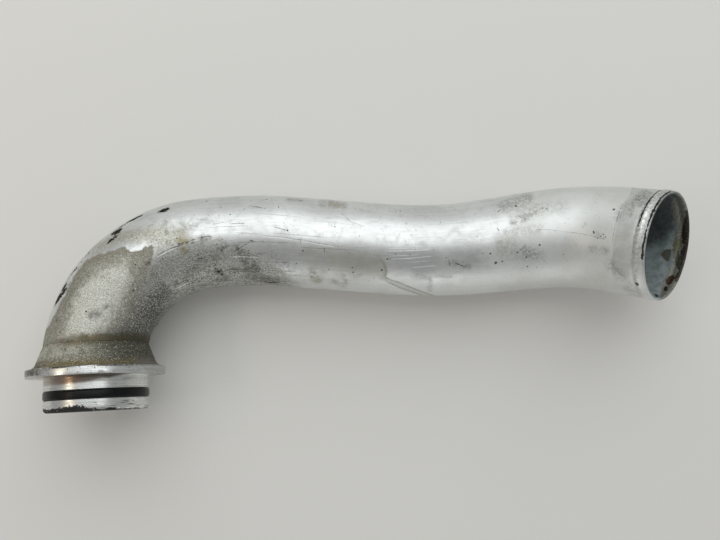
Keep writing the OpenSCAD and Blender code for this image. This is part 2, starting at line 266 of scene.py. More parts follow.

# How far the black grime reaches up from the nose's end, and the brown band down from the flange, each at
# a place across the plug, from -1 to 1. The brown band is a painted reflection of the flange's underside, with
# its shade. The last depth is so far off that none of it shows
GRIME_TOP = [
    (-1, 2.4), (-0.9, 2.9), (-0.66, 2.6), (-0.4, 3), (-0.16, 4), (0.04, 3.7), (0.14, 2.4), (0.3, 1.8),
    (0.6, 1.4), (0.75, 0.9), (1, 0.3),
]
REFLECTION_DEPTH = [(-1, -2), (-0.95, 0), (-0.85, 4.6), (-0.4, 5), (0.1, 4.4), (0.5, 2.6), (0.75, 0.6), (1, -1)]
NO_REFLECTION = -9

# Noises that both metals have: scale to a millimetre, detail, roughness and distortion
MOTTLE = (0.22, 5, 0.6)
BLOTCH = (0.6, 4, 0.65, 0.4)
# How metallic the bare tube and fitting are
TUBE_METAL = 0.93
FITTING_METAL = 0.96

# The floor's half width, the light of the room, where the lights point, and for each light its azimuth, angle
# from the vertical, distance, width, height, watts and tint
FLOOR_HALF = 4
ROOM_LIGHT = 0.33
LIGHTS_AT = Vector((0, 0.02, 0.04))
LIGHTS = [
    ("window", 0, 40, 1.4, 1.9, 1.6, 13.2, (0.97, 1, 1)),
    ("sky", 0, 80, 1.7, 3, 0.7, 2.6, (0.98, 1, 1)),
    ("wall", 180, 82, 1.5, 2.6, 0.75, 5.4, (1, 1, 0.98)),
    ("lamp", -90, 48, 1.1, 0.5, 0.06, 0.85, (1, 0.86, 0.66)),
]


def unit(v):
    return v / np.linalg.norm(v)


def turned(v, axis, angle):
    """v turned about a unit axis by an angle in radians."""
    c, s = math.cos(angle), math.sin(angle)
    return v * c + np.cross(axis, v) * s + axis * np.dot(axis, v) * (1 - c)


def smooth(t):
    t = np.clip(t, 0.0, 1.0)
    return t * t * (3 - 2 * t)


def leg_length(leg):
    return leg[1] if leg[0] == "run" else leg[1] * math.radians(abs(leg[2]))


TUBE_LEN = sum(leg_length(leg) for leg in LEGS)


def station(start, leg, x):
    """Point, direction and side of the tube, x millimetres along a leg that begins at start."""
    p, d, m = start
    if leg[0] == "run":
        return p + x * d, d, m
    _, radius, angle, roll = leg
    sense = math.copysign(1.0, angle)
    side = turned(m, d, math.radians(roll))
    hinge = np.cross(d, side)
    a = sense * x / radius
    return p + sense * radius * (side - turned(side, hinge, a)), turned(d, hinge, a), turned(m, hinge, a)


def trace(distances):
    """The tube's stations at these distances from its foot, in the fitting's own frame."""
    z = np.array([0.0, 0.0, 1.0])
    lean = -math.radians(NECK_LEAN)
    start = (
        np.array([0.0, TUBE_FOOT, 0.0]),
        turned(np.array([0.0, 1.0, 0.0]), z, lean),
        turned(np.array([1.0, 0.0, 0.0]), z, lean),
    )
    begins, found, at = [], [], 0.0
    for leg in LEGS:
        begins.append((at, start, leg))
        start = station(start, leg, leg_length(leg))
        at += leg_length(leg)
    for s in distances:
        at, start, leg = [b for b in begins if b[0] <= s + 1e-9][-1]
        p, d, m = station(start, leg, s - at)
        back = (math.radians(NECK_LEAN) + s / ELBOW_R) * max(0.0, 1 - s / FOOT_BLEND)
        found.append((p, turned(d, z, back), turned(m, z, back)))
    return [np.array(column) for column in zip(*found)]


def skin_radius(s):
    """Outer radius of the tube along its length."""
    s = np.asarray(s, float)
    u = (TUBE_LEN - s - BEAD_BACK) / (BEAD_W / 2)
    bead = np.where(np.abs(u) < 1, BEAD_H * (1 + np.cos(np.pi * u)) / 2, 0)
    neck = (NECK_R - TUBE_R) * (1 - smooth(s / NECK_TAPER))
    flare = (HOSE_R - TUBE_R) * smooth((s - TUBE_LEN + HOSE_LAND + HOSE_FLARE) / HOSE_FLARE)
    return TUBE_R + neck + flare + bead


def place_from_mounts():
    """Rotation and origin, in millimetres, that carry the fitting's own frame to the row frame."""
    mounts = {m["name"]: m for m in frame["record"]["mounts"]}
    plug_axis = unit(np.array(mounts["plug"]["axis"], float))
    level = UPPER_LAND + GROOVE_W + (NOSE_LEN - NOSE_ROUND) / 2
    seat = np.array(mounts["plug"]["pos_m"], float) / MM - plug_axis * level
    reach = np.array(mounts["hose_end"]["pos_m"], float) / MM - seat
    mouth = trace([TUBE_LEN])[0][0]

    def basis(up, towards):
        first = unit(towards - up * np.dot(up, towards))
        return np.column_stack([first, up, np.cross(first, up)])

    turn = basis(-plug_axis, reach) @ basis(np.array([0.0, 1.0, 0.0]), mouth).T
    return turn, seat


TURN, SEAT = place_from_mounts()


def to_row(points):
    """Points of the fitting's own frame in the row frame, in millimetres."""
    return points @ TURN.T + SEAT


def to_pixel(points):
    """Where the photograph shows these points of the row frame, in its own pixels."""
    away = points - CAMERA_AT
    c, s = math.cos(CAMERA_TURN), math.sin(CAMERA_TURN)
    x = away[..., 0] * c + away[..., 1] * s
    y = away[..., 1] * c - away[..., 0] * s
    depth = -away[..., 2]
    return np.stack([FRAME_W / 2 + FOCAL_PX * x / depth, FRAME_H / 2 - FOCAL_PX * y / depth], axis=-1)


def waves(s, phi, seed, lengths, turns, height):
    """A gentle unevenness along and around a skin, never more than its height."""
    rng = np.random.default_rng(seed)
    total = np.zeros(np.broadcast(s, phi).shape)
    for length in lengths:
        for n in turns:
            total = total + np.sin(2 * np.pi * s / length + n * phi + rng.uniform(0, 2 * np.pi))
    return height * total / (len(lengths) * len(turns))


def add_object(name, data):
    made = bpy.data.objects.new(name, data)
    bpy.context.scene.collection.objects.link(made)
    return made


def loop_mesh(name, rings, uv, sharp=40):
    """A closed mesh from a closed loop of rings, each with the same number of points, in millimetres."""
    count, around = rings.shape[:2]
    points = rings.reshape(-1, 3)
    i = np.repeat(np.arange(count), around)
    k = np.tile(np.arange(around), count)
    j, n = (i + 1) % count, (k + 1) % around
    quads = np.stack([i * around + k, j * around + k, j * around + n, i * around + n], axis=1)
    corner_uv = np.stack([uv[i, k], uv[i + 1, k], uv[i + 1, k + 1], uv[i, k + 1]], axis=1)
    a, b, c, d = (points[quads[:, q]] for q in range(4))
    if np.sum(np.cross(b - a, c - a) * a) + np.sum(np.cross(c - a, d - a) * a) < 0:
        quads, corner_uv = quads[:, ::-1], corner_uv[:, ::-1]
    mesh = bpy.data.meshes.new(name)
    mesh.from_pydata((points * MM).tolist(), [], quads.tolist())
    layer = mesh.uv_layers.new(name="skin")
    layer.data.foreach_set("uv", corner_uv.reshape(-1).astype(np.float32))
    mesh.shade_smooth()
    mesh.set_sharp_from_angle(angle=math.radians(sharp))
    mesh.update()
    return add_object(name, mesh)


def set_values(piece, name, values):
    """Keeps one number for each vertex, for the material to read."""
    attribute = piece.data.attributes.new(name, "FLOAT", "POINT")
    attribute.data.foreach_set("value", np.asarray(values, np.float32).ravel())


def seen_distance(outline):
    """Signed distance in pixels of the tube's points from an outline, positive inside it."""
    x, y = tube_pixels[..., 0], tube_pixels[..., 1]
    best = np.full(x.shape, FAR_OFF)
    inside = np.zeros(x.shape, bool)
    for (x1, y1), (x2, y2) in zip(outline, outline[1:] + outline[:1]):
        best = np.minimum(best, segment_distance(x1, y1, x2, y2))
        if y1 != y2:
            inside ^= ((y1 > y) != (y2 > y)) & (x < x1 + (y - y1) * (x2 - x1) / (y2 - y1))
    return np.where(inside, best, -best)


# The tube is one closed skin from its foot over the bead and lip and back inside
def ring_points(p, d, m, radius, phi):
    """Rings about stations. The angle is 0 on the side that faces the camera."""
    t = phi[:, None] + 1.5 * np.pi
    out = np.cos(t) * m[:, None] + np.sin(t) * np.cross(d, m)[:, None]
    return p[:, None] + radius[..., None] * out


def bell(x, middle, width):
    """1 at its middle and almost nothing two widths away."""
    return np.exp(-((x - middle) / width) ** 2)


def dents(s, phi):
    """Small knocks in the skin, in millimetres."""
    rng = np.random.default_rng(21)
    total = 0
    for _ in range(DENTS):
        at, way = rng.uniform(12, TUBE_LEN - 20), rng.uniform(-np.pi, np.pi)
        size, deep = rng.uniform(2.5, 7.0), rng.uniform(0.04, 0.16)
        off = np.angle(np.exp(1j * (phi - way))) * TUBE_R
        total = total + deep * bell(s, at, size) * bell(off, 0, 0.7 * size)
    return total


def make_tube():
    """The tube's piece, its points, their places along it, how many rings are outside, how the points face."""
    phi = np.linspace(-np.pi, np.pi, TUBE_AROUND + 1)
    end, deep = TUBE_LEN - END_SPAN, TUBE_LEN - MOUTH_SPAN
    s_out = np.concatenate([
        FOOT_RINGS, np.arange(1.5, end, BODY_STEP), np.arange(end, TUBE_LEN - LIP_R - 0.05, END_STEP),
    ])
    back = TUBE_LEN - s_out
    dips = VALLEY * (bell(back, 1.3, 0.55) + bell(back, BEAD_BACK + BEAD_W / 2, 0.6))
    dips += np.interp(s_out, FOOT_RINGS, FOOT_BREAK)
    mouth = TUBE_LEN - np.arange(1.2, MOUTH_SPAN - 2, MOUTH_STEP)
    s_in = np.concatenate([mouth, np.arange(deep, 3, -DEEP_STEP), [0]])
    turn = np.linspace(0, np.pi, LIP_RINGS)
    s_all = np.concatenate([s_out, TUBE_LEN - LIP_R + LIP_R * np.sin(turn), s_in])
    p, d, m = trace(np.minimum(s_all, TUBE_LEN))
    depth = np.concatenate([dips, WALL / 2 * (1 - np.cos(turn)), np.full(len(s_in), WALL)])
    along = s_all[:, None]
    uneven = waves(along, phi, 3, (19, 31, 47, 71), (1, 2, 3, 5), UNEVEN)
    fade = smooth(along / 20) * smooth((TUBE_LEN - 3 - along) / 20)
    knocked = dents(along, phi)
    knocked[len(s_out):] = 0
    radius = (skin_radius(s_all) - depth - INSIDE)[:, None] + (uneven - 0.1) * fade - knocked
    rings = to_row(ring_points(p, d, m, radius, phi))[:, :-1]
    uv = np.stack(np.broadcast_arrays(along, phi * TUBE_R), axis=-1)
    piece = loop_mesh("bent_tube", rings, np.concatenate([uv, uv[:1]]))
    outward, to_eye = rings - to_row(p)[:, None], CAMERA_AT - rings
    facing = np.sum(outward * to_eye, axis=-1)
    facing /= np.linalg.norm(outward, axis=-1) * np.linalg.norm(to_eye, axis=-1)
    return piece, rings, s_all, len(s_out), facing


def revolve(name, profile, segments, wobble):
    """Turns a closed profile of (radius, level) points about the plug's axis."""
    profile = np.array(profile, float)
    phi = np.linspace(-np.pi, np.pi, segments + 1)
    radius = profile[:, :1] + wobble(profile, phi)
    level = np.repeat(profile[:, 1:], segments + 1, axis=1)
    rings = to_row(np.stack([radius * np.sin(phi), level, radius * np.cos(phi)], axis=-1))
    steps = np.linalg.norm(np.roll(profile, -1, axis=0) - profile, axis=1)
    run = np.concatenate([[0], np.cumsum(steps)])
    uv = np.stack(np.broadcast_arrays(run[:, None], phi * PLUG_R), axis=-1)
    piece = loop_mesh(name, rings[:, :-1], uv, sharp=28)
    radius, level = (np.repeat(profile[:, q:q + 1], segments, axis=1) for q in (0, 1))
    set_values(piece, "level", level)
    set_values(piece, "radius", radius)
    return piece, level, radius


def line(a, b, step):
    """Points from a up to b, without b."""
    a, b = np.array(a, float), np.array(b, float)
    n = max(1, math.ceil(np.linalg.norm(b - a) / step))
    return [tuple(a + (b - a) * i / n) for i in range(n)]


def arc(centre, radius, start, end, steps):
    """Points of an arc from one angle to the other, in degrees."""
    angles = np.radians(np.linspace(start, end, steps + 1))
    return [(centre[0] + radius * math.cos(a), centre[1] + radius * math.sin(a)) for a in angles]


def polyline(corners, step):
    """Points all round a closed line through these corners."""
    return [p for a, b in zip(corners, corners[1:] + corners[:1]) for p in line(a, b, step)]


def fitting_corners():
    """The turned fitting's profile with its edges just broken, from the nose round to the bore."""
    plug, flange, neck = PLUG_R - INSIDE, FLANGE_R - INSIDE, NECK_R - INSIDE
    slope = math.degrees(math.atan2(COLLAR_R - NECK_R, COLLAR_H))
    foot = ROOT_ROUND / math.tan(math.radians(45 + slope / 2))
    nose = arc((plug - NOSE_ROUND, NOSE_ROUND - PLUG_LEN + INSIDE), NOSE_ROUND, -90, 0, 8)
    low, high = -UPPER_LAND - GROOVE_W, -UPPER_LAND
    groove = [
        (plug, low - EDGE), (plug - EDGE, low), (PLUG_R - GROOVE_DEPTH, low),
        (PLUG_R - GROOVE_DEPTH, high), (plug - EDGE, high), (plug, high + EDGE),
    ]
    seat = arc((plug + SEAT_FILLET, INSIDE - SEAT_FILLET), SEAT_FILLET, 180, 90, 4)
    rim = arc((flange - RIM_CHAMFER, RIM_CHAMFER + INSIDE), RIM_CHAMFER, -90, 0, 4)
    rim += arc((flange - RIM_CHAMFER, FLANGE_T - INSIDE - RIM_CHAMFER), RIM_CHAMFER, 0, 90, 4)
    root = arc((COLLAR_R + foot, FLANGE_T + ROOT_ROUND - INSIDE), ROOT_ROUND, 270, 180 + slope, 10)
    top = [(neck + out, COLLAR_TOP + up) for out, up in COLLAR_EDGE]
    inside = [
        (NECK_R - WALL, COLLAR_TOP), (BORE_R, COLLAR_TOP - BORE_CONE),
        (BORE_R, BORE_CHAMFER - PLUG_LEN), (BORE_R + BORE_CHAMFER, INSIDE - PLUG_LEN),
    ]
    return nose + groove + seat + rim + root + top + inside


def fitting_wobble(profile, phi):
    """Nicks in the flange's rim, and a collar that was never machined smooth."""
    radius, level = profile[:, :1], profile[:, 1:]
    rough = waves(level, phi, 5, (3.1, 5.3, 8.9), (3, 7, 13, 19), COLLAR_ROUGH) - COLLAR_ROUGH
    on_collar = smooth((level - FLANGE_T - 0.5) / 2) * smooth((radius - BORE_R - 3) / 2)
    on_rim = smooth((radius - PLUG_R - 8.4) / 0.8) * smooth((level + 0.5) / 0.5)
    rng = np.random.default_rng(11)
    nicks = 0
    for _ in range(NICKS):
        at, wide, deep = rng.uniform(-np.pi, np.pi), rng.uniform(0.006, 0.03), rng.uniform(0.05, 0.35)
        nicks = nicks + deep * bell(phi, at, wide) * bell(level, rng.choice([0.0, FLANGE_T]), 0.9)
    return rough * on_collar - nicks * on_rim


def make_seal():
    inner_r, outer_r = PLUG_R - GROOVE_DEPTH + SEAL_GAP, PLUG_R + SEAL_PROUD - INSIDE
    corner = (outer_r - inner_r) / 3
    high = -UPPER_LAND - SEAL_GAP - corner
    low = -UPPER_LAND - SEAL_GAP - SEAL_W + corner
    profile = []
    for radius, level, start, steps in (
        (inner_r + corner, low, 180, 5), (outer_r - corner, low, 270, 7),
        (outer_r - corner, high, 0, 7), (inner_r + corner, high, 90, 5),
    ):
        profile += arc((radius, level), corner, start, start + 90, steps)

    def soft(points, phi):
        outer = smooth((points[:, :1] - inner_r) / (outer_r - inner_r))
        return outer * (waves(points[:, 1:], phi, 8, (14, 23), (4, 9, 15), SEAL_WAVE) - SEAL_WAVE)

    return revolve("seal_ring", profile, SEAL_AROUND, soft)[0]


tube, tube_rings, tube_s, TUBE_OUTER, tube_facing = make_tube()
tube_pixels = to_pixel(tube_rings)
fitting, fitting_level, fitting_radius = revolve(
    "turned_fitting", polyline(fitting_corners(), PROFILE_STEP), FITTING_AROUND, fitting_wobble,
)
seal = make_seal()


def seen_skin(x, y):
    """Distance along and around the skin, in millimetres, of what the photograph shows at a pixel."""
    outer = tube_pixels[:TUBE_OUTER]
    gap = np.hypot(outer[..., 0] - x, outer[..., 1] - y)
    cost = np.where(tube_facing[:TUBE_OUTER] < 0, FAR_OFF, gap)
    i, k = np.unravel_index(np.argmin(cost), cost.shape)
    i = min(i, TUBE_OUTER - 2)
    here = outer[i, k]
    along = (outer[i + 1, k] - here) / (tube_s[i + 1] - tube_s[i])
    around = (outer[i, (k + 1) % TUBE_AROUND] - here) / (2 * np.pi / TUBE_AROUND * TUBE_R)
    step = np.column_stack([along, around])
    off = np.zeros(2)
    if abs(np.linalg.det(step)) > FLAT_ENOUGH:
        off = np.clip(np.linalg.solve(step, (x, y) - here), -3, 3)
    return np.array([tube_s[i] + off[0], (k / TUBE_AROUND - 0.5) * 2 * np.pi * TUBE_R + off[1]])


def segment_distance(x1, y1, x2, y2):
    """Distance in pixels of the tube's points from a stroke's line."""
    a, b = np.array([x1, y1], float), np.array([x2, y2], float)
    t = np.clip(((tube_pixels - a) @ (b - a)) / max(1e-9, (b - a) @ (b - a)), 0, 1)
    return np.linalg.norm(tube_pixels - a - t[..., None] * (b - a), axis=-1)


def soft_strokes(strokes, seen):
    """Greatest strength of the soft strokes at each point of the side that is seen."""
    total = 0
    for *ends, half_width, strength in strokes:
        reach = segment_distance(*ends) / (half_width * PX_PER_MM)
        total = np.maximum(total, strength * (1 - smooth((reach - 0.3) / 1.2)))
    return total * seen


def dress_tube():
    """Numbers for the tube's material at each point of its skin."""
    phi = np.linspace(-np.pi, np.pi, TUBE_AROUND + 1)[:-1]
    along, around = np.meshgrid(tube_s, phi, indexing="ij")
    straight = np.stack([along, TUBE_R * np.sin(around), TUBE_R * np.cos(around)], axis=-1)
    layer = tube.data.attributes.new("straight", "FLOAT_VECTOR", "POINT")
    layer.data.foreach_set("vector", straight.astype(np.float32).ravel())
    inner = np.zeros(along.shape)
    inner[TUBE_OUTER + 4:] = 1
    x, y = tube_pixels[..., 0], tube_pixels[..., 1]
    back = TUBE_LEN - along
    seen = smooth((tube_facing + 0.15) / 0.2)
    drip = smooth((x - 386) / 3)
    far_end, near_end = (seen_skin(*end)[1] / TUBE_R for end in VALLEY_ENDS)
    far = bell(back, BEAD_BACK + BEAD_W / 2 - 1.1, 0.8) * smooth((far_end - around) / 0.12 + 0.5)
    near = bell(back, 1, 0.75) * smooth((near_end - around) / 0.12 + 0.5)
    numbers = {
        "inner": inner, "along": along, "lee": np.sin(around), "drip": drip,
        "smudge_and_shade": soft_strokes(SMUDGES_AND_SHADE, seen), "stain": soft_strokes(STAINS, seen),
        "film_body": np.maximum(smooth((x - 284) / 34) * smooth((287 - y) / 12), drip) * seen,
        "film_rim": smooth((x - 366) / 24), "hose_body": smooth((288 - y) / 22),
        # The bead's crest: worn all round, with a painted highlight on its upper side
        "crest": bell(back, BEAD_BACK, 1.3) * (bell(y, 216, 16) + 0.35), "valley": np.maximum(far, near),
        "upper": smooth((near_end - around) / 0.5 + 0.5), "mouth_dark": smooth(seen_distance(MOUTH_DARK) / 14 + 0.5),
    }
    for name, outline in GROUNDS.items():
        numbers[name] = seen_distance(outline)
    for name, (outline, _, _) in FLAKES.items():
        numbers[name] = seen_distance(outline) - 20 * (back >= FLAKES_REACH)
    for name, values in numbers.items():
        set_values(tube, name, values)


# The shader helpers add nodes to the material that new_material began last, one short call each
TREE = None


def new_material(name):
    global TREE
    made = bpy.data.materials.new(name)
    made.use_nodes = True
    TREE = made.node_tree
    return made


def put(source, socket):
    if isinstance(source, bpy.types.NodeSocket):
        TREE.links.new(source, socket)
    else:
        socket.default_value = source


def new_node(kind, inputs=None, output=0, **settings):
    """One output of a new node, with its inputs by number or name."""
    made = TREE.nodes.new("ShaderNode" + kind)
    for key, setting in settings.items():
        setattr(made, key, setting)
    for key, source in (inputs or {}).items():
        put(source, made.inputs[key])
    return made.outputs[output]


def calc(operation, *sources, clamp=False):
    return new_node("Math", dict(enumerate(sources)), operation=operation, use_clamp=clamp)


def times(*sources):
    return functools.reduce(functools.partial(calc, "MULTIPLY"), sources)


def add(a, b):
    return calc("ADD", a, b)


def most(*sources):
    return functools.reduce(functools.partial(calc, "MAXIMUM"), sources)


def vector(operation, *sources, output=0):
    return new_node("VectorMath", dict(enumerate(sources)), output, operation=operation)


def value(name, output="Fac"):
    return new_node("Attribute", None, output, attribute_name=name)


def place():
    """Position on the object, in millimetres."""
    return new_node("VectorMath", {0: new_node("TexCoord", None, "Object"), "Scale": 1 / MM}, operation="SCALE")


def skin(along, around):
    """Position on the skin, in millimetres times a scale each way."""
    return vector("MULTIPLY", new_node("UVMap", uv_map="skin"), (along, around, 1))


def straight(along, across):
    """Position as if the tube were straight, in millimetres times a scale each way."""
    return vector("MULTIPLY", value("straight", "Vector"), (along, across, across))


def noise(at, scale, detail, rough=0.55, distortion=0, output="Fac"):
    numbers = {"Scale": scale, "Detail": detail, "Roughness": rough, "Distortion": distortion}
    return new_node("TexNoise", {"Vector": at, **numbers}, output)


def ramp(source, low, high, start=0, end=1):
    """Goes smoothly from start at low to end at high."""
    numbers = {"From Min": low, "From Max": high, "To Min": start, "To Max": end}
    return new_node("MapRange", {"Value": source, **numbers}, "Result", interpolation_type="SMOOTHSTEP")


def mix(factor, a, b):
    """From tone a to tone b. A tuple is a colour as a screen shows it."""
    a, b = (colour(*tone) if isinstance(tone, tuple) else tone for tone in (a, b))
    return new_node("Mix", {0: factor, 6: a, 7: b}, 2, data_type="RGBA")


def blend(factor, a, b):
    """From number a to number b."""
    return new_node("Mix", {0: factor, 2: a, 3: b}, data_type="FLOAT")


def ragged(source, *shakes):
    """A source with noises, each times a reach, added about their middles."""
    for shake, reach in shakes:
        source = add(source, times(calc("SUBTRACT", shake, 0.5), reach))
    return source


def mask(source, low, high, *shakes):
    """From 0 to 1 as a source, or the attribute of this name, goes from low to high, made ragged by noises."""
    if isinstance(source, str):
        source = value(source)
    return ramp(ragged(source, *shakes), low, high)


def tones(source, low, high, a, b, *shakes):
    """From tone a to tone b as a source goes from low to high."""
    return mix(mask(source, low, high, *shakes), a, b)


def over(under, *layers):
    """Layers laid over what is there, each a tone and the factors that together say how strongly."""
    for tone, *factors in layers:
        under = mix(times(*factors), under, tone)
    return under


def bump(height, distance, normal=None):
    inputs = {"Strength": 1, "Distance": distance * MM, "Height": height}
    return new_node("Bump", inputs if normal is None else {**inputs, "Normal": normal})


def shaken(at, scale, reach):
    """The place on the skin pushed about by noise, so that what is drawn with it gets uneven edges."""
    moved = vector("MULTIPLY_ADD", noise(at, scale, 3, 0.5, 0, "Color"), (reach, reach, 0), skin(1, 1))
    return vector("SUBTRACT", moved, (reach / 2, reach / 2, 0))


def stroke(spot, a, b, half_width):
    """Grows from 0 on the line between two places on the skin to 1 on the edge of an oval about it."""
    def away(end):
        return vector("DISTANCE", spot, (*end, 0), output="Value")

    length = np.linalg.norm(b - a)
    if length < half_width:
        return times(away((a + b) / 2), 1 / half_width)
    grows = 2 * math.hypot(length / 2, half_width) - length
    return times(calc("SUBTRACT", add(away(a), away(b)), length), 1 / grows)


def least(spot, strokes):
    """The least of these strokes."""
    found = None
    for x1, y1, x2, y2, half_width in strokes:
        one = stroke(spot, seen_skin(x1, y1), seen_skin(x2, y2), half_width)
        found = one if found is None else calc("MINIMUM", found, one)
    return found


def specks(at, scale, size, share):
    """Round specks in a share of the cells."""
    away = new_node("TexVoronoi", {"Vector": at, "Scale": scale}, "Distance")
    near = ramp(away, size, size * 0.5)
    red = new_node("SeparateColor", {0: away.node.outputs["Color"]})
    return times(near, calc("LESS_THAN", red, share))


def finish(material, base, roughness, metallic, normal=None, specular=0.5):
    surface = TREE.nodes["Principled BSDF"]
    inputs = {"Base Color": base, "Roughness": roughness, "Metallic": metallic, "Specular IOR Level": specular}
    for key, source in inputs.items():
        put(source, surface.inputs[key])
    if normal is not None:
        put(normal, surface.inputs["Normal"])
    return material


def colour(red, green, blue):
    """A colour as a screen shows it, 0 to 255, as the shader's linear one."""
    def linear(c):
        c /= 255
        return c / 12.92 if c <= 0.04045 else ((c + 0.055) / 1.055) ** 2.4
    return (linear(red), linear(green), linear(blue), 1.0)


def tube_material():
    material = new_material("worn_tube_aluminium")
    at = place()
    inner, along, lee = value("inner"), value("along"), value("lee")
    outer = calc("SUBTRACT", 1, inner)
    cloud = noise(at, 0.035, 4, 0.5)
    mottle = noise(at, *MOTTLE)
    blotch = noise(at, *BLOTCH)
    grain = noise(at, 2.1, 4, 0.7)
    drift = noise(at, 0.09, 3, 0.55)
    coarse = noise(at, 1.15, 3, 0.75)
    fine = noise(at, 1.25, 3, 0.8)
    drawn = noise(straight(0.02, 0.7), 1, 4, 0.65)
    hair = noise(straight(0.06, 4), 1, 3, 0.6)

    # The grounds, with the dried film's drip and rim, and the mark of the hose
    soil = ragged(value("soil"), (mottle, 5), (blotch, 5), (grain, 2))
    soft = ramp(lee, 0.15, 0.5)
    soiled = ramp(soil, blend(soft, -0.6, -12), blend(soft, 1.2, 9))
    worn = mask("worn", -9, 12, (mottle, 20), (drift, 16), (blotch, 8))
    gritty = mask("grit", -13, 19, (mottle, 36), (drift, 30), (blotch, 18))
    dusty = mask("dust", -5, 7, (mottle, 18), (drift, 16), (blotch, 5))
    dull = mask("dull", -14, 12, (mottle, 30), (cloud, 30))
    wiped = mask("wiped", -0.5, 1.2, (blotch, 1.5))
    hose = times(mask("hose", -0.7, 1, (blotch, 2.5), (grain, 1)), value("hose_body"))
    film = ragged(value("film"), (blotch, 1.2), (grain, 0.6))
    drip, film_rim = value("drip"), value("film_rim")
    filmed = times(ramp(film, -0.5, blend(film_rim, 12, 0.5)), value("film_body"))
    rim = times(filmed, film_rim, ramp(film, blend(drip, 5, 1.5), blend(drip, 0.8, 0.6)))

    # The bare metal, a little clouded, with fine lines along the tube, and the grounds over it
    scuffed = ramp(drift, 0.42, 0.58, 0.25, 1)
    metal = over(
        tones(cloud, 0.35, 0.65, (206, 208, 208), (222, 224, 224)),
        [(172, 174, 171), ramp(mottle, 0.5, 0.72), 0.24],
        [(160, 163, 163), ramp(drawn, 0.56, 0.7), 0.25],
        [(138, 140, 138), ramp(hair, 0.58, 0.66), scuffed, 0.4],
        [(246, 248, 248), ramp(hair, 0.4, 0.33), scuffed, 0.6],
        [tones(cloud, 0.4, 0.62, (221, 223, 222), (207, 208, 204)), dull, 0.8],
        [(222, 225, 228), wiped, 0.3],
        [(160, 160, 148), filmed, blend(drip, 0.4, 0.3)],
        [(118, 117, 100), rim, 0.45],
        [tones(blotch, 0.38, 0.62, (170, 171, 165), (128, 129, 122)), worn, 0.8],
        [tones(mottle, 0.4, 0.6, (152, 154, 152), (184, 186, 184)), hose, 0.42],
        [tones(blotch, 0.36, 0.62, (146, 143, 130), (200, 200, 190)), dusty, 0.55],
    )
    rough = add(blend(ramp(mottle, 0.35, 0.7), 0.31, 0.44), times(hair, 0.06))
    rough = blend(dull, rough, ramp(mottle, 0.35, 0.65, 0.46, 0.52))
    rough = blend(times(wiped, 0.5), rough, 0.26)
    rough = add(rough, times(filmed, 0.08))
    rough = blend(dusty, blend(worn, rough, 0.46), 0.5)
    rough = add(rough, times(hose, 0.05))
    rough = blend(gritty, blend(soiled, rough, 0.6), 0.52)

    # Corroded skin of the elbow, browner under its upper edge, with bright crystals, and painted shade towards
    # the inside of the bend
    earth = tones(grain, 0.36, 0.64, (134, 132, 122), (196, 196, 187))
    earth = mix(ramp(blotch, 0.38, 0.6), mix(0.5, earth, (126, 122, 108)), earth)
    heart = mask("pale", -5, 9, (mottle, 22), (drift, 22), (blotch, 9))
    tide = mask(soil, 12, 1, (mottle, 12), (blotch, 8))
    earth = over(
        earth,
        [(150, 142, 132), ramp(drift, 0.5, 0.62), 0.45],
        [tones(grain, 0.38, 0.6, (170, 170, 161), (240, 241, 234)), heart, 0.8],
        [tones(grain, 0.35, 0.65, (104, 98, 80), (146, 141, 124)), tide, 0.55],
    )
    cinder = tones(coarse, 0.42, 0.57, (50, 51, 45), (158, 159, 151))
    cinder = over(cinder, [(186, 187, 178), specks(at, 0.9, 0.42, 0.4)])
    smear = tones(blotch, 0.4, 0.6, (90, 91, 84), (192, 193, 187), (hair, 0.7), (coarse, 0.9))
    gather = mask("crystals", -7, 9, (drift, 34), (mottle, 16))
    rugged = most(worn, gritty, dusty, times(soiled, 0.5))
    crystal = times(specks(at, 1, 0.42, 0.42), ramp(blotch, 0.42, 0.54), gather)
    shade = over(
        metal,
        [earth, soiled],
        [mix(gather, smear, cinder), gritty, ramp(mottle, 0.3, 0.6, 0.55, 0.9)],
        # Painted shade: darker towards the inside of the bend
        [(50, 51, 44), gritty, gather, ramp(lee, 0.45, 0.9), 0.68],
        [(58, 58, 51), rugged, ramp(fine, 0.53, 0.63), 0.55],
        [(236, 237, 231), rugged, ramp(fine, 0.46, 0.37), 0.55],
        [(250, 250, 244), crystal, most(soiled, gritty), 0.95],
    )

    # Pepper of fine pits, thicker on the worn ground beside the elbow, then flecks, smudges with one stroke of
    # painted shade below the bead, and stains
    pepper = times(specks(at, 1, 0.3, 0.35), ramp(mottle, 0.36, 0.6, 0.25, 1))
    smudge_and_shade = times(value("smudge_and_shade"), ramp(ragged(blotch, (grain, 0.6), (mottle, 0.5)), 0.36, 0.62, 0.15, 1.35))
    stain = times(value("stain"), ramp(blotch, 0.3, 0.6, 0.5, 1.1))
    shade = over(
        shade,
        [(80, 80, 74), pepper, outer, blend(most(worn, gritty), 0.4, 0.8)],
        [(58, 57, 52), specks(at, 0.34, 0.16, 0.3), outer, ramp(dull, 0, 1, 1, 0.35), 0.65],
        [(92, 91, 84), calc("MULTIPLY", smudge_and_shade, 0.85, clamp=True)],
        [(140, 124, 74), calc("MULTIPLY", stain, 0.9, clamp=True)],
    )
    rough = add(rough, times(smudge_and_shade, 0.1))

    # The rolled bead, worn bright on its crest with a painted highlight on its upper side, worn beside it, with
    # dark dirt in the valleys on both sides
    crest = times(value("crest"), outer)
    near_lip = ramp(along, TUBE_LEN - 8.5, TUBE_LEN - 6.5)
    valley = times(value("valley"), outer)
    grime = times(mask(valley, 0.42, 0.56, (mottle, 1.5), (blotch, 1.7), (grain, 0.5)), ramp(valley, 0.04, 0.2))
    shade = over(
        shade,
        # Worn crest with a painted highlight on its upper side
        [tones(blotch, 0.4, 0.6, (240, 242, 242), (196, 197, 194)), crest, 0.6],
        [(112, 113, 110), near_lip, outer, value("upper"), mask(blotch, 0.45, 0.6, (grain, 0.7)), 0.4],
        [(26, 26, 24), grime, 0.95],
    )

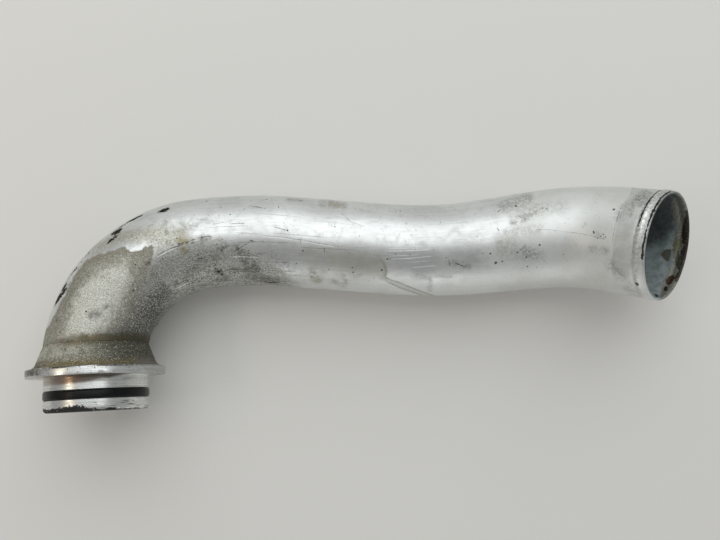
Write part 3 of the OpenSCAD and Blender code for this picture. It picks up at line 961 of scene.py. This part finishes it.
    # Strokes: scratches, dots and chips, each with its own edge
    drawn_at = shaken(at, 0.9, 0.7)
    bright = times(ramp(least(drawn_at, BRIGHT_SCRATCHES), 1.5, 0.3), outer, ramp(hair, 0.35, 0.55, 0.5, 1))
    line = times(ramp(least(drawn_at, SCRATCHES), 1.5, 0.4), outer)
    dot = times(ramp(least(drawn_at, [(x, y, x, y, half_width) for x, y, half_width in DOTS]), 1.25, 0.8), outer)
    chipped = least(shaken(at, 0.9, 4.2), CHIPS)
    chip = times(ramp(chipped, 1.2, 0.75), outer)
    shade = over(
        shade,
        [(250, 252, 254), bright, 0.8],
        [(66, 64, 58), line, ramp(ragged(grain, (blotch, 0.6)), 0.34, 0.56, 0.25, 1), 0.8],
        [(30, 30, 28), dot, 0.9],
        [(112, 100, 82), ramp(chipped, 2, 1), outer, 0.5],
        [(17, 16, 14), chip, ramp(grain, 0.35, 0.5, 0.8, 1)],
    )
    rough = blend(bright, blend(crest, rough, 0.34), 0.6)

    # The crease at the foot, and painted shade beside it on the inside of the bend
    foot = ragged(along, (mottle, 5), (blotch, 2.5), (grain, 1))
    crease = times(ramp(foot, 6.4, 2), outer, ramp(lee, -0.7, 0.1, 0.2, 1))
    shade = over(
        shade,
        [tones(mottle, 0.45, 0.55, (92, 86, 58), (108, 90, 54)), crease, 0.8],
        # Painted shade: darker near the foot on the inside of the bend
        [(56, 55, 44), ramp(foot, 11, 3), ramp(lee, 0, 0.75), outer, 0.72],
    )

    # Inside: an oily film, flakes and crusts, with painted glints on the crusts
    # Painted glints: light specks on the crusts
    crust_glint = times(specks(at, 1, 0.42, 0.34), ramp(blotch, 0.44, 0.56))
    oil = tones(mottle, 0.32, 0.68, (142, 154, 156), (182, 192, 193), (blotch, 0.3))
    # Darker at the upper left of the mouth
    oil = over(oil, [tones(blotch, 0.35, 0.65, (46, 48, 47), (84, 87, 86)), value("mouth_dark"), 0.78])
    for name, (_, dark, light) in FLAKES.items():
        crusty = name in ("crust", "pitch")
        reach = 6 if crusty else 1.2
        flake = mask(name, -0.5, 0.5, (mottle, reach * 1.5), (blotch, reach), (grain, 0.8))
        oil = over(oil, [tones(grain, 0.38, 0.62, dark, light), flake, 0.95])
        if crusty:
            oil = over(oil, [(160, 158, 148), flake, crust_glint, 0.8])
    shade = mix(inner, shade, oil)

    dirty = most(chip, dot, grime, times(crease, 0.6))
    metallic = blend(most(times(soiled, 0.6), times(gritty, 0.55)), TUBE_METAL, 0.2)
    for share, left in ((times(worn, 0.5), 0.4), (times(dull, 0.35), 0.4), (dirty, 0), (inner, 0.35)):
        metallic = blend(share, metallic, left)
    rough = most(blend(inner, rough, 0.45), times(most(chip, grime), 0.85))

    pitted = most(mask("soil", -2, 2), mask("grit", -8, 12))
    pits = times(noise(at, 1.3, 4, 0.7), blend(pitted, 0.8, 8))
    normal = bump(add(noise(straight(0.06, 4), 1, 2), pits), 0.02)
    return finish(material, shade, rough, metallic, normal, blend(dirty, 0.5, 0.12))


def dress_fitting():
    """Numbers for the fitting's material: how far across, and how deep into its dirt and shade."""
    phi = np.linspace(-np.pi, np.pi, FITTING_AROUND + 1)[:-1]
    level, across = fitting_level, np.broadcast_to(np.sin(phi), fitting_level.shape)
    top = smooth(np.cos(phi) / 0.2 + 0.5)
    grime_top = np.interp(across, *zip(*GRIME_TOP)) * top + 1.2 * (1 - top)
    # Depth into the brown band below the flange: a painted reflection of its underside, with its shade
    flange_reflection = np.where(level < 0.2, np.interp(across, *zip(*REFLECTION_DEPTH)) + level, NO_REFLECTION)
    set_values(fitting, "lee", across)
    set_values(fitting, "grime", grime_top - PLUG_LEN - level)
    set_values(fitting, "flange_reflection", flange_reflection * top + NO_REFLECTION * (1 - top))
    set_values(fitting, "bore", fitting_radius < PLUG_R - GROOVE_DEPTH - 0.5)


def fitting_material():
    material = new_material("turned_aluminium")
    at = place()
    level, radius, lee, bore = value("level"), value("radius"), value("lee"), value("bore")
    outer = calc("SUBTRACT", 1, bore)
    mottle = noise(at, *MOTTLE)
    blotch = noise(at, *BLOTCH)
    grain = noise(at, 2, 4, 0.7)
    turning = noise(skin(2.6, 0.012), 1, 4, 0.65)
    smear = noise(skin(0.5, 0.05), 1, 4, 0.6)

    # Turned and handled metal, with fine rings, a little dirt dragged round, and below the flange a brown band
    # that is a painted reflection of its underside, with its shade
    flange_reflection = times(mask("flange_reflection", -0.6, 1.4, (smear, 1.6), (turning, 0.8)), ramp(lee, -0.85, -0.1, 0.5, 0.95))
    lines = times(ramp(noise(skin(1.1, 0.09), 1, 3, 0.6), 0.585, 0.61), ramp(lee, 0, 0.35))
    bright = over(
        tones(turning, 0.38, 0.62, (210, 212, 211), (234, 236, 235)),
        [(160, 159, 152), ramp(smear, 0.5, 0.7), 0.5],
        [(140, 140, 134), ramp(mottle, 0.55, 0.75), 0.35],
        # Brown band below the flange: a painted reflection of its underside, with its shade
        [tones(lee, -0.3, 0.2, (134, 108, 86), (96, 88, 78)), flange_reflection],
        [(84, 80, 72), ramp(turning, 0.56, 0.64), ramp(lee, -0.62, -0.85), ramp(level, -4.2, -5), 0.6],
        [(60, 58, 52), lines, ramp(level, -14, -14.6), 0.8],
    )

    # The rough collar, darker on its right side with dirt and painted shade
    collar = mask(level, FLANGE_T - 0.25, FLANGE_T + 0.25, (blotch, 0.7), (grain, 0.4))
    dirt = tones(grain, 0.4, 0.6, (92, 89, 74), (184, 183, 170))
    dirt = mix(ramp(blotch, 0.38, 0.62), mix(0.55, dirt, (98, 92, 70)), dirt)
    pale = times(ramp(level, FLANGE_T + 3.5, FLANGE_T + 7.5), ramp(lee, 0.4, -0.1))
    crease = mask(level, COLLAR_TOP - 3.4, COLLAR_TOP - 0.8, (mottle, 3), (blotch, 2))
    # Dirt and painted shade: darker on the collar's right side
    dirt_and_shade = mask(lee, 0, 0.7, (mottle, 0.5), (blotch, 0.3))
    tide = mask(level, FLANGE_T + 5, FLANGE_T + 1.6, (blotch, 2.4), (mottle, 2))
    tide = times(tide, ramp(dirt_and_shade, 0, 1, 0.85, 0.55))
    dirt = over(
        dirt,
        [tones(grain, 0.4, 0.6, (150, 149, 138), (214, 213, 204)), pale, ramp(mottle, 0.35, 0.6), 0.6],
        [tones(mottle, 0.45, 0.58, (90, 84, 56), (116, 96, 58)), crease, ramp(lee, -0.7, 0, 0.2, 1), 0.68],
        [tones(grain, 0.4, 0.62, (38, 38, 30), (96, 96, 84)), dirt_and_shade, 0.88],
        [tones(grain, 0.42, 0.58, (64, 54, 30), (140, 126, 84)), tide],
        [(226, 225, 214), specks(at, 1.35, 0.42, 0.4), ramp(blotch, 0.42, 0.54), 0.75],
        [(54, 50, 36), specks(at, 0.9, 0.4, 0.35), ramp(blotch, 0.6, 0.46), 0.6],
    )

    # The flange, with a ragged black line on its back edge, a dirty left tip and painted shade on its right tip,
    # and black grime on the nose
    edge = times(ramp(level, FLANGE_T - 1.3, FLANGE_T - 0.5), ramp(radius, FLANGE_R - 2, FLANGE_R - 0.9))
    edge = times(edge, mask(calc("ABSOLUTE", calc("SUBTRACT", lee, 0.22)), 0.7, 0.5, (blotch, 1.2)))
    out_there = ramp(radius, PLUG_R + 3, PLUG_R + 6)
    tipped = tones(noise(at, 0.5, 4, 0.7), 0.47, 0.52, (36, 33, 25), (132, 129, 116), (smear, 0.7))
    knocks = times(specks(at, 0.55, 0.36, 0.3), ramp(radius, PLUG_R + 4, PLUG_R + 8), ramp(blotch, 0.45, 0.6))
    grime = ragged(value("grime"), (blotch, 4.4), (grain, 3), (mottle, 1.6))
    hole = times(specks(at, 0.9, 0.4, 0.3), mask("grime", 2.6, 1.2))
    grimy = times(ramp(grime, -0.1, 0.35), outer, calc("SUBTRACT", 1, times(hole, 0.9)))
    shade = over(
        bright,
        [dirt, collar],
        [(30, 29, 24), edge, mask(smear, 0.4, 0.5, (grain, 0.6)), 0.95],
        [tipped, mask(lee, -0.42, -0.66, (blotch, 0.4)), out_there, ramp(level, 0.3, 1.6), 0.9],
        # Painted shade: the flange's right tip darker
        [(126, 128, 126), mask(lee, 0.72, 0.95, (blotch, 0.2)), out_there, 0.5],
        [(70, 69, 62), knocks, 0.6],
        [tones(grain, 0.45, 0.7, (13, 12, 10), (34, 32, 28)), grimy, 0.96],
        [tones(mottle, 0.35, 0.65, (66, 68, 68), (120, 122, 120)), bore],
    )
    rough = add(blend(ramp(smear, 0.4, 0.65), 0.2, 0.32), times(grain, 0.06))
    for share, left in ((collar, 0.62), (grimy, 0.7), (bore, 0.4)):
        rough = blend(share, rough, left)
    metallic = blend(most(grimy, times(flange_reflection, 0.3)), blend(collar, FITTING_METAL, 0.25), 0)
    normal = bump(times(add(grain, blotch), collar), 0.3, bump(turning, 0.018))
    return finish(material, shade, rough, metallic, normal, blend(grimy, 0.5, 0.12))


def rubber_material():
    material = new_material("seal_rubber")
    at = place()
    film = noise(at, 0.25, 5, 0.6)
    dust = noise(skin(0.8, 0.06), 1, 4, 0.6)
    shade = over(
        tones(film, 0.35, 0.7, (8, 9, 11), (16, 18, 21)),
        [(52, 53, 54), ramp(dust, 0.55, 0.72), 0.25],
        [(120, 118, 110), specks(at, 0.9, 0.22, 0.12), 0.4],
    )
    return finish(material, shade, blend(film, 0.26, 0.4), 0, bump(noise(at, 1.6, 4, 0.6), 0.03), 0.22)


dress_tube()
dress_fitting()
for piece, node, slot, make in (
    (tube, "pipe", "tube_aluminium", tube_material),
    (fitting, "flanged_spigot", "turned_aluminium", fitting_material),
    (seal, "o_ring", "seal_rubber", rubber_material),
):
    piece.data.materials.append(make())
    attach(piece, "root")
    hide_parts(node)


def make_floor():
    mesh = bpy.data.meshes.new("floor")
    corners = [(x * FLOOR_HALF, y * FLOOR_HALF, 0) for x, y in ((-1, -1), (1, -1), (1, 1), (-1, 1))]
    mesh.from_pydata(corners, [], [(0, 1, 2, 3)])
    floor = add_object("floor", mesh)
    mesh.materials.append(finish(new_material("pale_floor"), colour(232, 231, 228), 0.7, 0))


def soft_light(name, azimuth, from_vertical, distance, width, height, watts, tint):
    """An area light that shines at the middle of the pipe. Azimuth 0 is the photograph's upper edge."""
    a, e = math.radians(azimuth), math.radians(from_vertical)
    towards = Vector((math.sin(a) * math.sin(e), math.cos(a) * math.sin(e), math.cos(e)))
    light = bpy.data.lights.new(name, "AREA")
    light.shape = "RECTANGLE"
    light.size, light.size_y = width, height
    light.energy, light.color = watts, tint
    made = add_object(name, light)
    made.location = LIGHTS_AT + towards * distance
    made.rotation_mode = "QUATERNION"
    made.rotation_quaternion = towards.to_track_quat("Z", "Y")


def make_light():
    world = bpy.data.worlds.new("soft_room")
    bpy.context.scene.world = world
    world.use_nodes = True
    back = world.node_tree.nodes["Background"]
    back.inputs["Color"].default_value = (1, 1, 0.98, 1)
    back.inputs["Strength"].default_value = ROOM_LIGHT
    for light in LIGHTS:
        soft_light(*light)


def make_camera():
    lens = bpy.data.cameras.new("camera")
    lens.sensor_fit = "HORIZONTAL"
    lens.sensor_width = SENSOR_W
    lens.lens = FOCAL_PX / FRAME_W * SENSOR_W
    lens.clip_start, lens.clip_end = 0.01, 20
    camera = add_object("camera", lens)
    camera.location = Vector(CAMERA_AT * MM)
    camera.rotation_euler = (0, 0, CAMERA_TURN)
    bpy.context.scene.camera = camera


make_floor()
make_light()
make_camera()
bpy.context.scene.view_settings.view_transform = "Standard"
